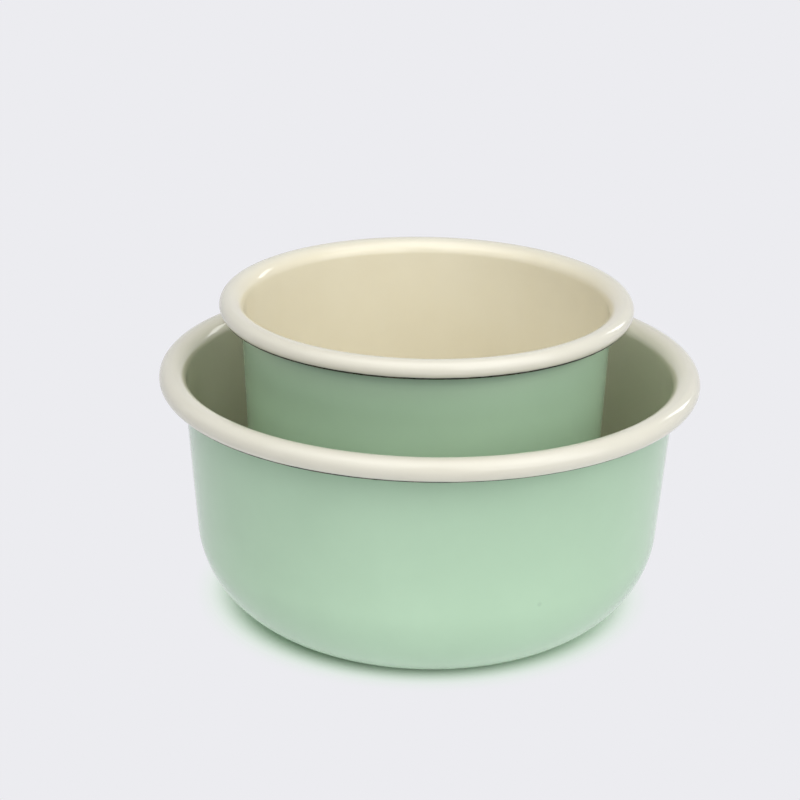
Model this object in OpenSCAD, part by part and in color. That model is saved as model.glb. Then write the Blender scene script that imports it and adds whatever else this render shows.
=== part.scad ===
// Two enamelled steel dog bowls: a deep, narrow one standing in a wide one.
// Each is a pressed sheet with an outward rolled rim, cream inside and green outside.
// Millimetres, +Z up. The origin is on the table, on the large bowl's axis.

/* [Large bowl] */
// Diameter over the rolled rim
large_rim_d = 190; // [170:1:240]
// Height from the table to the top of the rim
large_height = 93; // [80:1:105]
// Outer radius of the roll
large_roll_r = 3.9; // [3.6:0.1:4.6]
// Radius over which the wall turns into the roll
large_shoulder_r = 5.7; // [5:0.1:6.4]
// Lean of the wall from upright, in degrees
large_lean = 4.2; // [2:0.1:6]
// Outer radius of the corner between the wall and the base
large_corner_r = 36; // [22:1:42]
// Width of the dark line under the roll
large_line_w = 0.9; // [0.5:0.1:1.2]

/* [Small bowl] */
// Diameter over the rolled rim
small_rim_d = 144.4; // [120:0.1:150]
// Height from its base to the top of the rim
small_height = 116.5; // [95:0.1:130]
// Outer radius of the roll
small_roll_r = 3.2; // [2.8:0.1:3.8]
// Radius over which the wall turns into the roll
small_shoulder_r = 5.4; // [4.8:0.1:6]
// Lean of the wall from upright, in degrees
small_lean = 2.5; // [1:0.1:4]
// Outer radius of the corner between the wall and the base
small_corner_r = 28; // [18:1:32]
// Width of the dark line under the roll
small_line_w = 1; // [0.5:0.1:1.2]

/* [Sheet and enamel] */
// Thickness of the steel with its dark ground coat
steel_t = 0.8; // [0.6:0.1:1]
// Thickness of each coat of coloured enamel
coat_t = 0.2; // [0.1:0.05:0.3]
// Angle below level, round the roll, at which the cream meets the green
line_angle = 51; // [40:1:60]
// How far the dark line stands proud of the two coats
line_h = 0.2; // [0.1:0.05:0.3]
// Slit left between the curled edge of the sheet and the wall
slit_w = 0.4; // [0.3:0.1:0.8]

/* [Nesting] */
// How far the small bowl stands off the large bowl's axis, along X
nest_x = -1.5; // [-6:0.1:6]
// How far the small bowl stands off the large bowl's axis, along Y
nest_y = 0; // [-6:0.1:6]
// Gap under the small bowl's base
nest_gap = 0.1; // [0.05:0.05:0.3]

/* [Hidden] */
$fn = 144;
wall_t = steel_t + 2 * coat_t;
open_curl_angle = 25;
cream = [0.92, 0.90, 0.81];
green = [0.70, 0.81, 0.71];
ground = [0.17, 0.19, 0.15];

// A bowl is a list of its driving dimensions, read back by name
large = [large_rim_d, large_height, large_roll_r, large_shoulder_r, large_lean, large_corner_r, large_line_w];
small = [small_rim_d, small_height, small_roll_r, small_shoulder_r, small_lean, small_corner_r, small_line_w];
function rim_r(bowl) = bowl[0] / 2;
function height(bowl) = bowl[1];
function roll_r(bowl) = bowl[2];
function shoulder_r(bowl) = bowl[3];
function lean(bowl) = bowl[4];
function corner_r(bowl) = bowl[5];
function line_w(bowl) = bowl[6];

// Directions in the half section: out through the wall, and up along it
function out(bowl) = [cos(lean(bowl)), -sin(lean(bowl))];
function up(bowl) = [sin(lean(bowl)), cos(lean(bowl))];

// Centres of the roll, of the shoulder and of the corner, in the half section
function roll_c(bowl) = [rim_r(bowl) - roll_r(bowl), height(bowl) - roll_r(bowl)];
function shoulder_c(bowl) = [rim_r(bowl) - roll_r(bowl), height(bowl) - shoulder_r(bowl)];
function turn_r(bowl) = corner_r(bowl) - wall_t + shoulder_r(bowl);
function wall_len(bowl) =
    (shoulder_c(bowl).y - corner_r(bowl) + turn_r(bowl) * sin(lean(bowl))) / cos(lean(bowl));
function corner_c(bowl) = shoulder_c(bowl) - turn_r(bowl) * out(bowl) - wall_len(bowl) * up(bowl);

// Angle, anticlockwise from level, at which the curled edge stops short of the wall
function roll_to_wall(bowl) =
    shoulder_r(bowl) - wall_t + (shoulder_r(bowl) - roll_r(bowl)) * sin(lean(bowl));
function touch_angle(bowl) = acos(min(1, (roll_to_wall(bowl) - slit_w) / roll_r(bowl)));
function curl_end(bowl) = lean(bowl) - 180 + max(open_curl_angle, touch_angle(bowl));

// Angles between which the dark line lies round the roll
function line_half(bowl) = line_w(bowl) / 2 / roll_r(bowl) * 180 / PI;
function line_from(bowl) = -line_angle - line_half(bowl);
function line_to(bowl) = -line_angle + line_half(bowl);

// A pie slice that reaches past a circle of radius r
module slice(r, from, to) {
    steps = 8;
    reach = 2 * r;
    spokes = [for (i = [0 : steps]) from + (to - from) * i / steps];
    polygon(concat([[0, 0]], [for (a = spokes) reach * [cos(a), sin(a)]]));
}

// Part of a ring
module arc_band(r, t, from, to) {
    intersection() {
        difference() {
            circle(r);
            circle(r - t);
        }
        slice(r, from, to);
    }
}

// Everything inside the surface that lies depth outside the bowl's inner face, up to a level
module cup(bowl, depth, level) {
    centre = corner_c(bowl);
    r = corner_r(bowl) - wall_t + depth;
    foot = centre + r * out(bowl);
    top_r = foot.x + (level - foot.y) * tan(lean(bowl));
    translate(centre) circle(r);
    polygon([[0, centre.y - r], [centre.x, centre.y - r], centre, foot, [top_r, level], [0, level]]);
}

// Base, corner and wall of one layer, up to the shoulder
module cup_layer(bowl, depth, t) {
    difference() {
        cup(bowl, depth + t, shoulder_c(bowl).y);
        cup(bowl, depth, height(bowl));
    }
}

// The turn from the wall to the top of the rim, of one layer
module shoulder_layer(bowl, depth, t) {
    translate(shoulder_c(bowl)) arc_band(shoulder_r(bowl) - depth, t, 90, 180);
}

// Part of the roll, of one layer
module roll_layer(bowl, depth, t, from, to) {
    translate(roll_c(bowl)) arc_band(roll_r(bowl) - depth, t, from, to);
}

module steel_section(bowl) {
    cup_layer(bowl, coat_t, steel_t);
    shoulder_layer(bowl, coat_t, steel_t);
    roll_layer(bowl, coat_t, steel_t, curl_end(bowl), 90);
}

module inside_section(bowl) {
    cup_layer(bowl, 0, coat_t);
    shoulder_layer(bowl, 0, coat_t);
    roll_layer(bowl, 0, coat_t, line_to(bowl), 90);
}

module outside_section(bowl) {
    wall_top = roll_c(bowl).y + roll_r(bowl) * sin(curl_end(bowl));
    difference() {
        cup_layer(bowl, wall_t - coat_t, coat_t);
        square([corner_c(bowl).x, corner_r(bowl)]);
        translate([0, wall_top]) square([rim_r(bowl), height(bowl)]);
    }
    roll_layer(bowl, 0, coat_t, curl_end(bowl), line_from(bowl));
}

module line_section(bowl) {
    roll_layer(bowl, -line_h, coat_t + line_h, line_from(bowl), line_to(bowl));
}

module base_disc(bowl) {
    cylinder(r = corner_c(bowl).x, h = coat_t);
}

// Where the small bowl stands, on the large bowl's floor
module nested() {
    translate([nest_x, nest_y, wall_t + nest_gap]) children();
}

module large_steel_shell() {
    color(ground) rotate_extrude() steel_section(large);
}

module large_inside_enamel() {
    color(cream) rotate_extrude() inside_section(large);
}

module large_outside_enamel() {
    color(green) rotate_extrude() outside_section(large);
}

module large_base_enamel() {
    color(green) base_disc(large);
}

module large_rim_line() {
    color(ground) rotate_extrude() line_section(large);
}

module small_steel_shell() {
    color(ground) nested() rotate_extrude() steel_section(small);
}

module small_inside_enamel() {
    color(cream) nested() rotate_extrude() inside_section(small);
}

module small_outside_enamel() {
    color(green) nested() rotate_extrude() outside_section(small);
}

module small_base_enamel() {
    color(green) nested() base_disc(small);
}

module small_rim_line() {
    color(ground) nested() rotate_extrude() line_section(small);
}

large_steel_shell();
large_inside_enamel();
large_outside_enamel();
large_base_enamel();
large_rim_line();
small_steel_shell();
small_inside_enamel();
small_outside_enamel();
small_base_enamel();
small_rim_line();
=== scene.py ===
"""Two nested enamelled steel dog bowls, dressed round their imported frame. Metres, +Z up."""

import math

import bmesh
import bpy
import numpy as np
from mathutils import Matrix, Vector


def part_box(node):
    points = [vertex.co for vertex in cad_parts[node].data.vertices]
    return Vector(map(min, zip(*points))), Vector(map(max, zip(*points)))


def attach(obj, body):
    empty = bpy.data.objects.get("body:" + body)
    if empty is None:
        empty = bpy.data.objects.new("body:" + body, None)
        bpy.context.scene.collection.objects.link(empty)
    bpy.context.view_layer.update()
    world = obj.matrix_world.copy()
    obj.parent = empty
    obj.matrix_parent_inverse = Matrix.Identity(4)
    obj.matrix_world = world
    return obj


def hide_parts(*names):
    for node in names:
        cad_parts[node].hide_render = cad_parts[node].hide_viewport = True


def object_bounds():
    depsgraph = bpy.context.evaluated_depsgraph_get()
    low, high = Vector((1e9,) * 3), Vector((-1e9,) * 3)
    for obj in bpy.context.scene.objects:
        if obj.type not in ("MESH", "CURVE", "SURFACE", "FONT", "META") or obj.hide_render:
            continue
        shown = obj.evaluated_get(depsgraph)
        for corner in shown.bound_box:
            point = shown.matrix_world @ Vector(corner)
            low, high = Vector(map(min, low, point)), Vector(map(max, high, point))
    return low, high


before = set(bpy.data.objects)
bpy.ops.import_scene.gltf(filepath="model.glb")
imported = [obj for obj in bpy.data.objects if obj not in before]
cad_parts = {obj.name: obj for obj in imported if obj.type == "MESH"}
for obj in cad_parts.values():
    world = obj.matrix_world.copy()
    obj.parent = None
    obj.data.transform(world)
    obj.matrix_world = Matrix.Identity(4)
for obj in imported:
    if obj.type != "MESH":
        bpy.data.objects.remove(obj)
cad_lo, cad_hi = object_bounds()

MM = 0.001

# Points round each bowl, and rows of points along each part of a coat's section
SEGMENTS = 288
FLOOR_ROWS = 22
INSIDE_CORNER_ROWS = 30
INSIDE_WALL_ROWS = 42
SHOULDER_ROWS = 18
ROLL_ROWS = 44
OUTSIDE_CORNER_ROWS = 34
OUTSIDE_WALL_ROWS = 46
UNDER_ROLL_ROWS = 16
LINE_ROWS = 13

# The angle from which an edge is drawn sharp
SHARP_ANGLE = math.radians(35)

# Sheet and enamel, as in the solids
STEEL_T = 0.8 * MM
COAT_T = 0.2 * MM
WALL_T = STEEL_T + 2 * COAT_T
SLIT_W = 0.4 * MM
OPEN_CURL = math.radians(25)

# How thinly the coats lie, 0 as on the wall to 1 as at an edge, partly painted shade: the cream over
# the roll, thinner there and also darkened as painted shade that tones down the lamps' light on it;
# the green at the top of the wall, darkened as painted shade of the roll's shadow; and the green under
# the roll, thinner there and darkened as painted shade under it
ROLL_THIN_AND_SHADE = 0.47
WALL_PAINTED_SHADE = 0.2
UNDER_ROLL_THIN_AND_SHADE = 0.35

# Rows over which the coats grow thinner at their edges, and over which the cream darkens, partly as
# painted shade, before it comes to the roll
CREAM_EDGE_ROWS = 8
CREAM_EDGE_POWER = 1.5
GREEN_EDGE_ROWS = 4
SHOULDER_THIN_ROWS = 12

# How far the fired surface may sink below the true section; its waves as turns round the bowl, waves
# along the section and share; how far the waves bend along the section, in radians
RIPPLE = 0.055 * MM
RIPPLE_WAVES = ((2, 0.7, 1.0), (3, 1.6, 0.8), (5, 2.3, 0.5), (8, 4.1, 0.3), (13, 6.0, 0.16))
RIPPLE_BEND = 1.3

# The dark line's bead: how far it stands proud where it is at least LINE_FULL wide, how far its edges
# lie below the coats beside it, and its least width
LINE_PROUD = 0.2 * MM
LINE_FULL = 1.9 * MM
LINE_SINK = 0.02 * MM
LINE_LEAST = 0.12 * MM

# The dark lines: angles below level, round the roll, of the upper and lower edge and of the upper
# edge where the line is heaviest, and where that is round the rim, in degrees; how far the whole
# line sways and how ragged its edges are, in millimetres
EDGES = {
    "large": dict(top=60, low=74, heavy_top=49, heavy=246, sway=0.08, ragged=0.11, seed=11),
    "small": dict(top=43, low=84, heavy_top=43, heavy=0, sway=0.06, ragged=0.08, seed=23),
}
HEAVY_SPREAD = math.radians(22)
SWAY_WAVES = (2, 3, 5, 7)
RAGGED_TOP_WAVES = (17, 29, 41, 60, 83)
RAGGED_LOW_WAVES = (13, 23, 37, 53, 71)

# A faint speck low on the large bowl's wall, right of the front
SPECK_TURN = math.radians(-62.8)
SPECK_HEIGHT = 34.5 * MM
SPECK_INNER = 0.4 * MM
SPECK_OUTER = 1.2 * MM
SPECK_STRENGTH = 0.2

# Enamel detail: each noise as scale, detail and roughness, the span of its values that counts, and
# what it drives; pits as scale, radius and core in cells of a pattern, and the share of cells with one
IOR = 1.5
CLOUD_NOISE = (16.0, 4.0, 0.55)
CLOUD_SPAN = (0.34, 0.68)
DRAIN_NOISE = (60.0, 3.0, 0.5)
DRAIN_STRETCH = (1.0, 1.0, 0.16)
DRAIN_SPAN = (0.35, 0.72)
DRAIN_SHARE = 0.25
GLOSS_NOISE = (34.0, 3.0, 0.5)
GLOSS_SPAN = (0.3, 0.7)
ENAMEL_ROUGH = (0.07, 0.15)
PEEL_NOISE = (210.0, 2.0, 0.4)
PEEL_STRENGTH = 0.10
PEEL_DEPTH = 0.12 * MM
PIT_SCALE = 75.0
PIT_RADIUS = 0.022
PIT_CORE = 0.45
PIT_DARK = 0.45
PIT_STRENGTH = 0.4
PIT_DEPTH = 0.12 * MM
CREAM_PITS = 0.05
GREEN_PITS = 0.04

# Ground coat detail, in the same way, and the share of brown, the roughness and the gloss of the
# large and the small bowl's line and of the shells
GROUND_CLOUD_NOISE = (140.0, 3.0, 0.5)
GROUND_CLOUD_SPAN = (0.35, 0.7)
GROUND_GLOSS_NOISE = (320.0, 3.0, 0.5)
GROUND_GRAIN_NOISE = (500.0, 3.0, 0.5)
GROUND_GRAIN_STRENGTH = 0.25
GROUND_GRAIN_DEPTH = 0.1 * MM
LARGE_LINE_BROWN = 0.9
SMALL_LINE_BROWN = 0.35
LINE_ROUGH = (0.2, 0.42)
LINE_GLOSS = 0.2
SHELL_BROWN = 0.5
SHELL_ROUGH = (0.3, 0.55)
SHELL_GLOSS = 0.5

# The colour inputs and the colour output of a mix node, by place
MIX_COLOURS = (6, 7)
MIX_RESULT = 2

# The floor: half its width, how far it lies below the large bowl's base, and its roughness
FLOOR_HALF = 3.0
FLOOR_DROP = 0.05 * MM
FLOOR_ROUGH = 0.3

# The floor's shade, over a slightly stretched and shifted distance from the axis: from near to far
# the real floor with its shadow gives way to the plain background; close by, both are tinted green as
# painted bounce light and reflection from the green bowl
SHADE_STRETCH = (0.99, 1.0, 0.0)
SHADE_SHIFT = (1.2 * MM, -12 * MM, 0.0)
SHADE_NEAR = 65 * MM
SHADE_FAR = 78.8 * MM
PAINTED_BOUNCE_NEAR = 66 * MM
PAINTED_BOUNCE_FAR = 85 * MM

# Camera, from a fit to both rims and the large bowl's outline
CAM_TARGET_DROP = 3.9 * MM
CAM_DISTANCE = 0.75
CAM_ELEVATION = math.radians(19.99)
CAM_YAW = math.radians(-0.834)
CAM_PITCH = math.radians(20.80)
CAM_ROLL = math.radians(0.8)
CAM_FOCAL_PX = 2122.0
CAM_FRAME_PX = 800.0
CAM_NEAR = 0.01
SENSOR_MM = 36.0

# Studio light: the world, and soft lamps as name, azimuth, elevation, distance, width, depth
# and watts; azimuth is turned from the camera's side towards the right
WORLD_LIGHT = 0.02
LAMP_AIM = (0, 0, 0.07)
LAMPS = (
    ("key", 22, 60, 1.5, 2.2, 1.4, 9.1),
    ("top", 0, 76, 1.5, 2.2, 1.4, 13.6),
    ("right_fill", 45, 25, 1.5, 1.6, 1.2, 10.0),
    ("left_fill", -40, 35, 1.5, 1.6, 1.2, 5.4),
    ("left_side", -95, 35, 1.5, 1.6, 1.2, 1.9),
    ("right_back", 131, 22, 1.25, 0.2, 0.42, 1.1),
)


def linear(r, g, b):
    """A display colour, 0 to 255, as linear light."""
    def one(v):
        v /= 255
        return v / 12.92 if v <= 0.04045 else ((v + 0.055) / 1.055) ** 2.4
    return (one(r), one(g), one(b), 1.0)


PALE = linear(236, 236, 240)
# Green painted into the floor beside the bowls, as painted bounce light and reflection from the bowl
PAINTED_GREEN_BOUNCE = linear(212, 234, 213)
CREAM = linear(238, 232, 210)
CREAM_DEEP = linear(234, 227, 203)
# Colours the coats darken towards where they are thinner and where painted shade lies over the roll,
# up the wall and under the roll
CREAM_THIN_AND_SHADE = linear(198, 199, 194)
GREEN = linear(188, 219, 189)
GREEN_DEEP = linear(183, 214, 184)
# The green darkened in the same way, where thinner and as painted shade
GREEN_THIN_AND_SHADE = linear(104, 130, 108)
GROUND = linear(34, 40, 31)
GROUND_BROWN = linear(92, 74, 54)


# Section of a bowl

class Bowl:
    """A bowl's section: place and outer size from the frame, the rest as in the solids."""

    def __init__(self, name, roll_r, shoulder_r, lean, corner_r):
        lo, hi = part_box(name + "_inside_enamel")
        base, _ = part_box(name + "_base_enamel")
        self.name = name
        self.axis = ((lo.x + hi.x) / 2, (lo.y + hi.y) / 2, base.z)
        self.rim_r = (hi.x - lo.x) / 2
        self.height = hi.z - base.z
        self.roll_r = roll_r * MM
        self.shoulder_r = shoulder_r * MM
        self.lean = math.radians(lean)
        self.corner_r = corner_r * MM
        self.out = np.array([math.cos(self.lean), -math.sin(self.lean)])
        self.up = np.array([math.sin(self.lean), math.cos(self.lean)])
        self.roll_c = np.array([self.rim_r - self.roll_r, self.height - self.roll_r])
        self.shoulder_c = np.array([self.rim_r - self.roll_r, self.height - self.shoulder_r])
        turn = self.corner_r - WALL_T + self.shoulder_r
        self.wall_len = (
            self.shoulder_c[1] - self.corner_r + turn * math.sin(self.lean)
        ) / math.cos(self.lean)
        self.corner_c = self.shoulder_c - turn * self.out - self.wall_len * self.up
        reach = self.shoulder_r - WALL_T
        reach += (self.shoulder_r - self.roll_r) * math.sin(self.lean)
        touch = math.acos(min(1.0, (reach - SLIT_W) / self.roll_r))
        self.curl_end = self.lean - math.pi + max(OPEN_CURL, touch)

    def floor(self, depth, t):
        """Points across the floor, t 0 at the axis to 1 at the corner."""
        return self.corner_c[0] * t, WALL_T - depth

    def corner(self, depth, t):
        """Points round the corner, t 0 at the floor to 1 at the wall."""
        a = -math.pi / 2 + (math.pi / 2 - self.lean) * t
        r = self.corner_r - WALL_T + depth
        return self.corner_c[0] + r * np.cos(a), self.corner_c[1] + r * np.sin(a)

    def wall(self, depth, t):
        """Points up the wall, t 0 at the corner to 1 at the shoulder."""
        r = self.corner_r - WALL_T + depth
        start = self.corner_c[:, None, None] + self.out[:, None, None] * r
        p = start + self.up[:, None, None] * (self.wall_len * t)
        return p[0], p[1]

    def shoulder(self, depth, t):
        """Points over the shoulder, t 0 at the wall to 1 at the top of the rim."""
        a = math.pi - self.lean - (math.pi / 2 - self.lean) * t
        r = self.shoulder_r - depth
        return self.shoulder_c[0] + r * np.cos(a), self.shoulder_c[1] + r * np.sin(a)

    def roll(self, depth, a):
        """Points on the roll at angle a, anticlockwise from level."""
        r = self.roll_r - depth
        return self.roll_c[0] + r * np.cos(a), self.roll_c[1] + r * np.sin(a)

    def on_wall(self, turn, height):
        """A point of the wall's outer face, height above the bowl's base."""
        foot = self.corner_c + self.corner_r * self.out
        r = foot[0] + (height - foot[1]) * math.tan(self.lean)
        x = self.axis[0] + r * math.cos(turn)
        y = self.axis[1] + r * math.sin(turn)
        return (x, y, self.axis[2] + height)


THETA = np.linspace(0, 2 * math.pi, SEGMENTS, endpoint=False)[None, :]


def steps(n, first=0.0, last=1.0):
    """Rows of even steps, each the same all round."""
    return np.linspace(first, last, n)[:, None] + 0 * THETA


def ramp(rows, first, length):
    """0 up to row first, then rising to 1 over length rows."""
    return np.clip((np.arange(rows) - first) / length, 0, 1)


def ripple(s, seed):
    """Shallow unevenness of a fired coat, 0 to 1, over turn THETA and section position s."""
    rng = np.random.default_rng(seed)
    total = np.zeros(np.broadcast(s, THETA).shape)
    weight = 0.0
    for turns, along, size in RIPPLE_WAVES:
        a, b = rng.uniform(0, 2 * math.pi, 2)
        bend = RIPPLE_BEND * np.sin(along * s * 2 * math.pi + b)
        total += size * np.cos(turns * THETA + a + bend)
        weight += size
    return 0.5 + 0.5 * total / weight


def wander(seed, size, waves):
    """A wandering edge, about -size to size, with the given numbers of waves round the rim."""
    rng = np.random.default_rng(seed)
    total = np.zeros_like(THETA)
    for n in waves:
        total += np.cos(n * THETA + rng.uniform(0, 2 * math.pi)) * rng.uniform(0.5, 1.0)
    return size * total / math.sqrt(len(waves))


# Meshes

def lathe(bowl, name, loops, thin):
    """Closed solids of revolution. Each loop is (r, z, pole), arrays of section points by turn;
    pole means that its first and last rows lie on the axis. The last argument holds, for each
    row, how thinly the coat lies together with painted shade."""
    mesh = bpy.data.meshes.new(name)
    bm = bmesh.new()
    # Per-vertex attribute: how thinly the coat lies, together with painted shade over the roll, up the
    # wall and under the roll
    layer = bm.verts.layers.float.new("thin")
    for (r, z, pole), row_thin_and_shade in zip(loops, thin):
        rows = []
        n = r.shape[0]
        x = bowl.axis[0] + r * np.cos(THETA)
        y = bowl.axis[1] + r * np.sin(THETA)
        h = bowl.axis[2] + z
        for i in range(n):
            value = float(row_thin_and_shade[i])
            if pole and i in (0, n - 1):
                v = bm.verts.new((bowl.axis[0], bowl.axis[1], float(h[i].mean())))
                v[layer] = value
                rows.append([v] * SEGMENTS)
                continue
            row = []
            for j in range(SEGMENTS):
                v = bm.verts.new((x[i, j], y[i, j], h[i, j]))
                v[layer] = value
                row.append(v)
            rows.append(row)
        followers = rows[1:] if pole else rows[1:] + rows[:1]
        for a, b in zip(rows, followers):
            for j in range(SEGMENTS):
                q = (j + 1) % SEGMENTS
                corners = []
                for v in (a[j], a[q], b[q], b[j]):
                    if v not in corners:
                        corners.append(v)
                if len(corners) > 2:
                    bm.faces.new(corners)
    bmesh.ops.recalc_face_normals(bm, faces=bm.faces)
    bm.to_mesh(mesh)
    bm.free()
    for poly in mesh.polygons:
        poly.use_smooth = True
    mesh.set_sharp_from_angle(angle=SHARP_ANGLE)
    obj = bpy.data.objects.new(name, mesh)
    bpy.context.scene.collection.objects.link(obj)
    return obj


def stack(parts):
    """Section points of several parts, one after the other."""
    return tuple(np.concatenate(values) for values in zip(*parts))


def closed(face, back):
    """A loop of section points: out along a coat's face and home along its back."""
    return tuple(np.concatenate([f, b[::-1]]) for f, b in zip(face, back))


def there_and_back(values):
    """Row values of a coat's face, then of its back."""
    return np.concatenate([values, values[::-1]])


def inside_section(bowl, depth_at, last_angle):
    """Floor, corner, wall, shoulder and roll at depth_at(s), s running 0 to 5 from the axis."""
    makers = (
        (FLOOR_ROWS, bowl.floor),
        (INSIDE_CORNER_ROWS, bowl.corner),
        (INSIDE_WALL_ROWS, bowl.wall),
        (SHOULDER_ROWS, bowl.shoulder),
    )
    parts = []
    for k, (n, maker) in enumerate(makers):
        t = steps(n, 0.0, 1.0 - 1.0 / n)
        parts.append(maker(depth_at(k + t), t))
    t = steps(ROLL_ROWS)
    a = math.pi / 2 + (last_angle - math.pi / 2) * t
    parts.append(bowl.roll(depth_at(len(makers) + t), a))
    return stack(parts)


def outside_section(bowl, depth_at, wall_share):
    """Base, corner and the lower share of the wall at depth_at(s), s running 0 to 3 from the axis."""
    makers = ((FLOOR_ROWS, bowl.floor), (OUTSIDE_CORNER_ROWS, bowl.corner))
    parts = []
    for k, (n, maker) in enumerate(makers):
        t = steps(n, 0.0, 1.0 - 1.0 / n)
        parts.append(maker(depth_at(k + t), t))
    t = steps(OUTSIDE_WALL_ROWS, 0.0, wall_share)
    parts.append(bowl.wall(depth_at(len(makers) + t), t))
    return stack(parts)


def inside_coat(bowl, line_top, seed):
    """The cream coat: floor, wall and roll, down to the dark line."""
    face = inside_section(bowl, lambda s: RIPPLE * ripple(s, seed) * np.clip(s, 0, 1), line_top)
    back = inside_section(bowl, lambda s: COAT_T + 0 * s, line_top)
    n = len(face[0])
    edge = ramp(n, n - 1 - CREAM_EDGE_ROWS, CREAM_EDGE_ROWS) ** CREAM_EDGE_POWER
    # The cream darkens over the roll: a thinner coat there, and painted shade that tones down the
    # lamps' light on the roll
    roll_thin_and_shade = ROLL_THIN_AND_SHADE * ramp(n, n - ROLL_ROWS - SHOULDER_THIN_ROWS, SHOULDER_THIN_ROWS)
    thin = there_and_back(np.maximum(edge, roll_thin_and_shade))
    return lathe(bowl, bowl.name + "_inside_coat", [(*closed(face, back), True)], [thin])


def outside_coat(bowl, line_low, seed):
    """The green coat: base, corner and wall up to the roll, and the roll's underside."""
    top = bowl.roll_c[1] + bowl.roll_r * math.sin(bowl.curl_end)
    reach = top - bowl.corner_c[1] + (bowl.corner_r - WALL_T) * math.sin(bowl.lean)
    wall_share = min(1.0, reach / math.cos(bowl.lean) / bowl.wall_len)

    def face_depth(s):
        return WALL_T - RIPPLE * ripple(s, seed) * np.clip(s - 1, 0, 1)

    face = outside_section(bowl, face_depth, wall_share)
    back = outside_section(bowl, lambda s: WALL_T - COAT_T + 0 * s, wall_share)
    n = len(face[0])
    edge = ramp(n, n - 1 - GREEN_EDGE_ROWS, GREEN_EDGE_ROWS)
    # Painted shade of the roll's shadow: the green darkens up the wall towards the roll
    wall_painted_shade = WALL_PAINTED_SHADE * ramp(n, n - OUTSIDE_WALL_ROWS, OUTSIDE_WALL_ROWS)
    thin = there_and_back(np.maximum(edge, wall_painted_shade))
    # The roll's underside: its green thinner there and darkened by painted shade under the roll
    t = steps(UNDER_ROLL_ROWS)
    a = line_low + (bowl.curl_end - line_low) * t
    under = closed(bowl.roll(0 * t, a), bowl.roll(COAT_T + 0 * t, a))
    return lathe(
        bowl,
        bowl.name + "_outside_coat",
        [(*closed(face, back), True), (*under, False)],
        [thin, np.full(2 * UNDER_ROLL_ROWS, UNDER_ROLL_THIN_AND_SHADE)],
    )


def dark_line(bowl, line_low, line_top):
    """The ring of ground coat between the two colours, a low rounded bead."""
    t = steps(LINE_ROWS)
    a = line_low + (line_top - line_low) * t
    width = (line_top - line_low) * bowl.roll_r
    crown = LINE_PROUD * np.minimum(width / LINE_FULL, 1) * np.sqrt(1 - (2 * t - 1) ** 2)
    loop = closed(bowl.roll(LINE_SINK - crown, a), bowl.roll(COAT_T + 0 * t, a))
    return lathe(bowl, bowl.name + "_dark_line", [(*loop, False)], [np.zeros(2 * LINE_ROWS)])


# Materials

class Nodes:
    """A material's node tree, with short ways to add nodes and links."""

    def __init__(self, name):
        self.material = bpy.data.materials.new(name)
        self.material.use_nodes = True
        self.tree = self.material.node_tree
        self.shader = self.tree.nodes["Principled BSDF"]
        self.coords = self.add("ShaderNodeTexCoord").outputs["Object"]

    def add(self, kind, **settings):
        node = self.tree.nodes.new(kind)
        for key, value in settings.items():
            setattr(node, key, value)
        return node

    def put(self, socket, value):
        if isinstance(value, bpy.types.NodeSocket):
            self.tree.links.new(value, socket)
        else:
            socket.default_value = value

    def noise(self, scale, detail, rough, stretch=None):
        node = self.add("ShaderNodeTexNoise")
        where = self.coords
        if stretch:
            mapping = self.add("ShaderNodeMapping")
            mapping.inputs["Scale"].default_value = stretch
            self.put(mapping.inputs["Vector"], where)
            where = mapping.outputs["Vector"]
        self.put(node.inputs["Vector"], where)
        node.inputs["Scale"].default_value = scale
        node.inputs["Detail"].default_value = detail
        node.inputs["Roughness"].default_value = rough
        return node.outputs["Fac"]

    def span(self, value, low, high, to_low=0.0, to_high=1.0):
        """A value between low and high, smoothly carried over to another span."""
        node = self.add("ShaderNodeMapRange", interpolation_type="SMOOTHSTEP")
        self.put(node.inputs["Value"], value)
        node.inputs["From Min"].default_value = low
        node.inputs["From Max"].default_value = high
        node.inputs["To Min"].default_value = to_low
        node.inputs["To Max"].default_value = to_high
        return node.outputs["Result"]

    def mix(self, share, a, b):
        node = self.add("ShaderNodeMix", data_type="RGBA")
        self.put(node.inputs["Factor"], share)
        for index, value in zip(MIX_COLOURS, (a, b)):
            self.put(node.inputs[index], value)
        return node.outputs[MIX_RESULT]

    def math(self, operation, a, b):
        node = self.add("ShaderNodeMath", operation=operation)
        self.put(node.inputs[0], a)
        self.put(node.inputs[1], b)
        return node.outputs[0]

    def near(self, point, inner, outer):
        """1 within inner of a point of the object, falling to 0 at a distance of outer."""
        node = self.add("ShaderNodeVectorMath", operation="DISTANCE")
        self.put(node.inputs[0], self.coords)
        node.inputs[1].default_value = point
        return self.span(node.outputs["Value"], inner, outer, 1.0, 0.0)

    def specks(self, scale, radius, share):
        """Sparse small dots, one in each of a random share of a pattern's cells."""
        node = self.add("ShaderNodeTexVoronoi")
        self.put(node.inputs["Vector"], self.coords)
        node.inputs["Scale"].default_value = scale
        dot = self.span(node.outputs["Distance"], radius * PIT_CORE, radius, 1.0, 0.0)
        split = self.add("ShaderNodeSeparateColor")
        self.put(split.inputs["Color"], node.outputs["Color"])
        chosen = self.math("GREATER_THAN", split.outputs["Red"], 1.0 - share)
        return self.math("MULTIPLY", dot, chosen)

    def attribute(self, name):
        node = self.add("ShaderNodeAttribute", attribute_name=name)
        return node.outputs["Fac"]

    def bump(self, height, strength, distance, base=None):
        node = self.add("ShaderNodeBump")
        node.inputs["Strength"].default_value = strength
        node.inputs["Distance"].default_value = distance
        self.put(node.inputs["Height"], height)
        if base is not None:
            self.put(node.inputs["Normal"], base)
        return node.outputs["Normal"]


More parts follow.
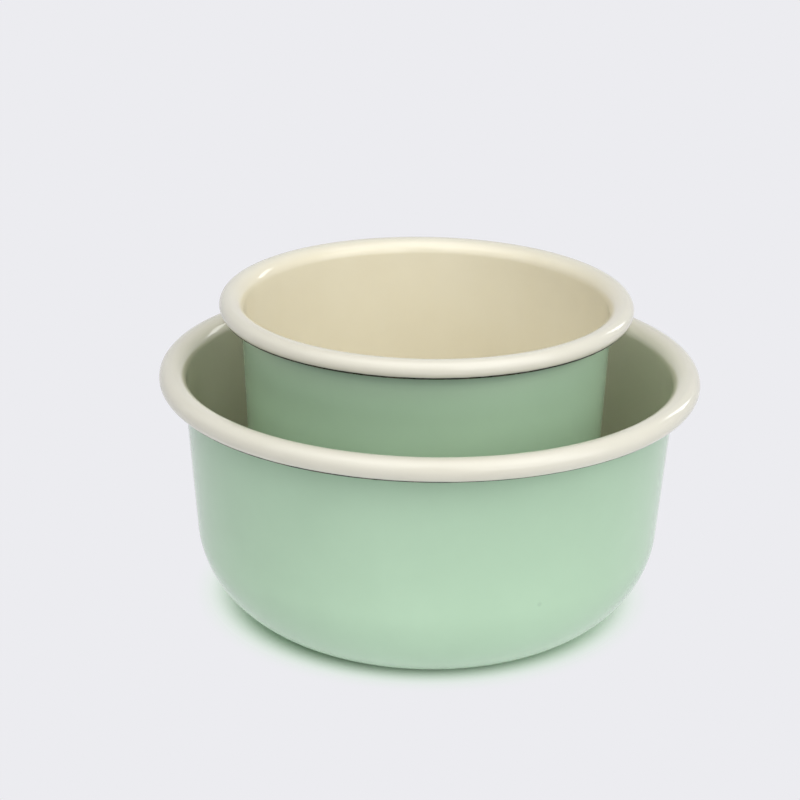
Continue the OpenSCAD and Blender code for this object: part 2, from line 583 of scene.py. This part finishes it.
def enamel(name, colour, shade, thin_and_shade_colour, speck_share, marks=()):
    """Opaque gloss vitreous enamel: mottled, thinner at its edges, darker with painted shade over the
    roll, up the wall and under the roll, with a few pits. Each mark is a dark spot as point, inner and
    outer radius, and strength."""
    n = Nodes(name)
    cloud = n.span(n.noise(*CLOUD_NOISE), *CLOUD_SPAN)
    drain = n.span(n.noise(*DRAIN_NOISE, DRAIN_STRETCH), *DRAIN_SPAN, 0.0, DRAIN_SHARE)
    tone = n.mix(cloud, colour, shade)
    tone = n.mix(drain, tone, shade)
    # Darker where the coat lies thinly, and painted shade over the roll, up the wall and under the
    # roll
    tone = n.mix(n.attribute("thin"), tone, thin_and_shade_colour)
    pits = n.specks(PIT_SCALE, PIT_RADIUS, speck_share)
    for point, inner, outer, strength in marks:
        mark = n.math("MULTIPLY", n.near(point, inner, outer), strength)
        pits = n.math("MAXIMUM", pits, mark)
    tone = n.mix(n.math("MULTIPLY", pits, PIT_DARK), tone, GROUND)
    n.put(n.shader.inputs["Base Color"], tone)
    gloss = n.span(n.noise(*GLOSS_NOISE), *GLOSS_SPAN, *ENAMEL_ROUGH)
    n.put(n.shader.inputs["Roughness"], gloss)
    n.shader.inputs["IOR"].default_value = IOR
    skin = n.bump(n.noise(*PEEL_NOISE), PEEL_STRENGTH, PEEL_DEPTH)
    n.put(n.shader.inputs["Normal"], n.bump(pits, PIT_STRENGTH, -PIT_DEPTH, skin))
    return n.material


def ground_coat(name, brown_share, rough, gloss):
    """Dark fired ground coat: mottled grey-green, brown where it lies thinly."""
    n = Nodes(name)
    cloud = n.span(n.noise(*GROUND_CLOUD_NOISE), *GROUND_CLOUD_SPAN)
    tone = n.mix(n.math("MULTIPLY", cloud, brown_share), GROUND, GROUND_BROWN)
    n.put(n.shader.inputs["Base Color"], tone)
    patchy = n.span(n.noise(*GROUND_GLOSS_NOISE), *GLOSS_SPAN, *rough)
    n.put(n.shader.inputs["Roughness"], patchy)
    n.shader.inputs["IOR"].default_value = IOR
    n.shader.inputs["Specular IOR Level"].default_value = gloss
    grain = n.bump(n.noise(*GROUND_GRAIN_NOISE), GROUND_GRAIN_STRENGTH, GROUND_GRAIN_DEPTH)
    n.put(n.shader.inputs["Normal"], grain)
    return n.material


def stage_material(name):
    """A pale floor that shows the object's shadow and runs out to the plain background; close to the
    bowl it is tinted green as painted bounce light from the bowl.
    """
    n = Nodes(name)
    lit = n.shader
    lit.inputs["Roughness"].default_value = FLOOR_ROUGH
    flat = n.add("ShaderNodeVectorMath", operation="MULTIPLY_ADD")
    n.put(flat.inputs[0], n.coords)
    flat.inputs[1].default_value = SHADE_STRETCH
    flat.inputs[2].default_value = SHADE_SHIFT
    away = n.add("ShaderNodeVectorMath", operation="LENGTH")
    n.put(away.inputs[0], flat.outputs["Vector"])
    shade = n.span(away.outputs["Value"], SHADE_NEAR, SHADE_FAR, 1.0, 0.0)
    painted_bounce_share = n.span(away.outputs["Value"], PAINTED_BOUNCE_NEAR, PAINTED_BOUNCE_FAR, 1.0, 0.0)
    # Painted green bounce light near the bowl, in the lit floor and in its plain emission alike
    colour = n.mix(painted_bounce_share, PALE, PAINTED_GREEN_BOUNCE)
    n.put(lit.inputs["Base Color"], colour)
    plain = n.add("ShaderNodeEmission")
    n.put(plain.inputs["Color"], colour)
    path = n.add("ShaderNodeLightPath")
    seen = n.math("MAXIMUM", path.outputs["Is Camera Ray"], path.outputs["Is Glossy Ray"])
    seen = n.math("MAXIMUM", seen, path.outputs["Is Transmission Ray"])
    cover = n.math("MULTIPLY", seen, n.math("SUBTRACT", 1.0, shade))
    both = n.add("ShaderNodeMixShader")
    n.put(both.inputs[0], cover)
    n.put(both.inputs[1], lit.outputs[0])
    n.put(both.inputs[2], plain.outputs[0])
    n.put(n.tree.nodes["Material Output"].inputs["Surface"], both.outputs[0])
    return n.material


# The two bowls

large = Bowl("large", roll_r=3.9, shoulder_r=5.7, lean=4.2, corner_r=36.0)
small = Bowl("small", roll_r=3.2, shoulder_r=5.4, lean=2.5, corner_r=28.0)

cream = enamel("cream_enamel_fired", CREAM, CREAM_DEEP, CREAM_THIN_AND_SHADE, CREAM_PITS)
speck = (large.on_wall(SPECK_TURN, SPECK_HEIGHT), SPECK_INNER, SPECK_OUTER, SPECK_STRENGTH)
green = enamel("green_enamel_fired", GREEN, GREEN_DEEP, GREEN_THIN_AND_SHADE, GREEN_PITS, (speck,))
line_dark = ground_coat("ground_line_dark", SMALL_LINE_BROWN, LINE_ROUGH, LINE_GLOSS)
line_thin = ground_coat("ground_line_thin", LARGE_LINE_BROWN, LINE_ROUGH, LINE_GLOSS)
shell_dark = ground_coat("steel_under_ground_coat", SHELL_BROWN, SHELL_ROUGH, SHELL_GLOSS)

for bowl, line_material in ((large, line_thin), (small, line_dark)):
    edge = EDGES[bowl.name]
    seed = edge["seed"]
    sway = wander(seed, edge["sway"] * MM, SWAY_WAVES)
    off = np.angle(np.exp(1j * (THETA - math.radians(edge["heavy"]))))
    heavy = np.exp(-((off / HEAVY_SPREAD) ** 2) / 2)
    top = np.radians(edge["top"] + (edge["heavy_top"] - edge["top"]) * heavy)
    ragged_top = wander(seed + 1, edge["ragged"] * MM, RAGGED_TOP_WAVES)
    ragged_low = wander(seed + 2, edge["ragged"] * MM, RAGGED_LOW_WAVES)
    line_top = -top + (sway + ragged_top) / bowl.roll_r
    line_low = -math.radians(edge["low"]) + (sway - ragged_low) / bowl.roll_r
    line_low = np.minimum(line_low, line_top - LINE_LEAST / bowl.roll_r)
    inside = inside_coat(bowl, line_top, seed + 3)
    outside = outside_coat(bowl, line_low, seed + 4)
    line = dark_line(bowl, line_low, line_top)
    pieces = (
        (inside, cream, "cream_enamel", ("_inside_enamel",)),
        (outside, green, "green_enamel", ("_outside_enamel", "_base_enamel")),
        (line, line_material, "ground_coat", ("_rim_line",)),
    )
    for piece, material, slot, nodes in pieces:
        piece.data.materials.append(material)
        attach(piece, bowl.name + "_bowl")
        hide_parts(*(bowl.name + n for n in nodes))
    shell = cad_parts[bowl.name + "_steel_shell"]
    for holder in shell.material_slots:
        holder.material = shell_dark


# Floor, light and camera

floor_corners = [(x * FLOOR_HALF, y * FLOOR_HALF, 0) for x, y in ((-1, -1), (1, -1), (1, 1), (-1, 1))]
floor_mesh = bpy.data.meshes.new("floor")
floor_mesh.from_pydata(floor_corners, [], [(0, 1, 2, 3)])
floor = bpy.data.objects.new("floor", floor_mesh)
floor.location.z = cad_lo.z - FLOOR_DROP
bpy.context.scene.collection.objects.link(floor)
floor_mesh.materials.append(stage_material("pale_floor"))

world = bpy.data.worlds.new("studio")
bpy.context.scene.world = world
world.use_nodes = True
tree = world.node_tree
light = tree.nodes["Background"]
light.inputs["Color"].default_value = (1.0, 1.0, 1.0, 1.0)
light.inputs["Strength"].default_value = WORLD_LIGHT
seen = tree.nodes.new("ShaderNodeBackground")
seen.inputs["Color"].default_value = PALE
path = tree.nodes.new("ShaderNodeLightPath")
first = tree.nodes.new("ShaderNodeMath")
first.operation = "MAXIMUM"
both = tree.nodes.new("ShaderNodeMath")
both.operation = "MAXIMUM"
blend = tree.nodes.new("ShaderNodeMixShader")
tree.links.new(path.outputs["Is Camera Ray"], first.inputs[0])
tree.links.new(path.outputs["Is Glossy Ray"], first.inputs[1])
tree.links.new(first.outputs[0], both.inputs[0])
tree.links.new(path.outputs["Is Transmission Ray"], both.inputs[1])
tree.links.new(both.outputs[0], blend.inputs[0])
tree.links.new(light.outputs[0], blend.inputs[1])
tree.links.new(seen.outputs[0], blend.inputs[2])
tree.links.new(blend.outputs[0], tree.nodes["World Output"].inputs["Surface"])


def area_light(name, azimuth, elevation, distance, width, depth, watts):
    """A soft lamp that faces LAMP_AIM."""
    a = math.radians(azimuth)
    e = math.radians(elevation)
    away = Vector((math.cos(e) * math.sin(a), -math.cos(e) * math.cos(a), math.sin(e)))
    data = bpy.data.lights.new(name, "AREA")
    data.shape = "RECTANGLE"
    data.size = width
    data.size_y = depth
    data.energy = watts
    obj = bpy.data.objects.new(name, data)
    obj.location = Vector(LAMP_AIM) + distance * away
    obj.rotation_euler = (-away).to_track_quat("-Z", "Y").to_euler()
    bpy.context.scene.collection.objects.link(obj)


for lamp in LAMPS:
    area_light(*lamp)

camera_data = bpy.data.cameras.new("camera")
camera_data.sensor_fit = "HORIZONTAL"
camera_data.sensor_width = SENSOR_MM
camera_data.lens = CAM_FOCAL_PX / CAM_FRAME_PX * SENSOR_MM
camera_data.clip_start = CAM_NEAR
camera = bpy.data.objects.new("camera", camera_data)
bpy.context.scene.collection.objects.link(camera)
target = Vector((0, 0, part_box("large_inside_enamel")[1].z - CAM_TARGET_DROP))
place = target + CAM_DISTANCE * Vector((0, -math.cos(CAM_ELEVATION), math.sin(CAM_ELEVATION)))
camera.matrix_world = (
    Matrix.Translation(place)
    @ Matrix.Rotation(-CAM_YAW, 4, "Z")
    @ Matrix.Rotation(math.pi / 2 - CAM_PITCH, 4, "X")
    @ Matrix.Rotation(CAM_ROLL, 4, "Z")
)
bpy.context.scene.camera = camera
bpy.context.scene.view_settings.view_transform = "Standard"
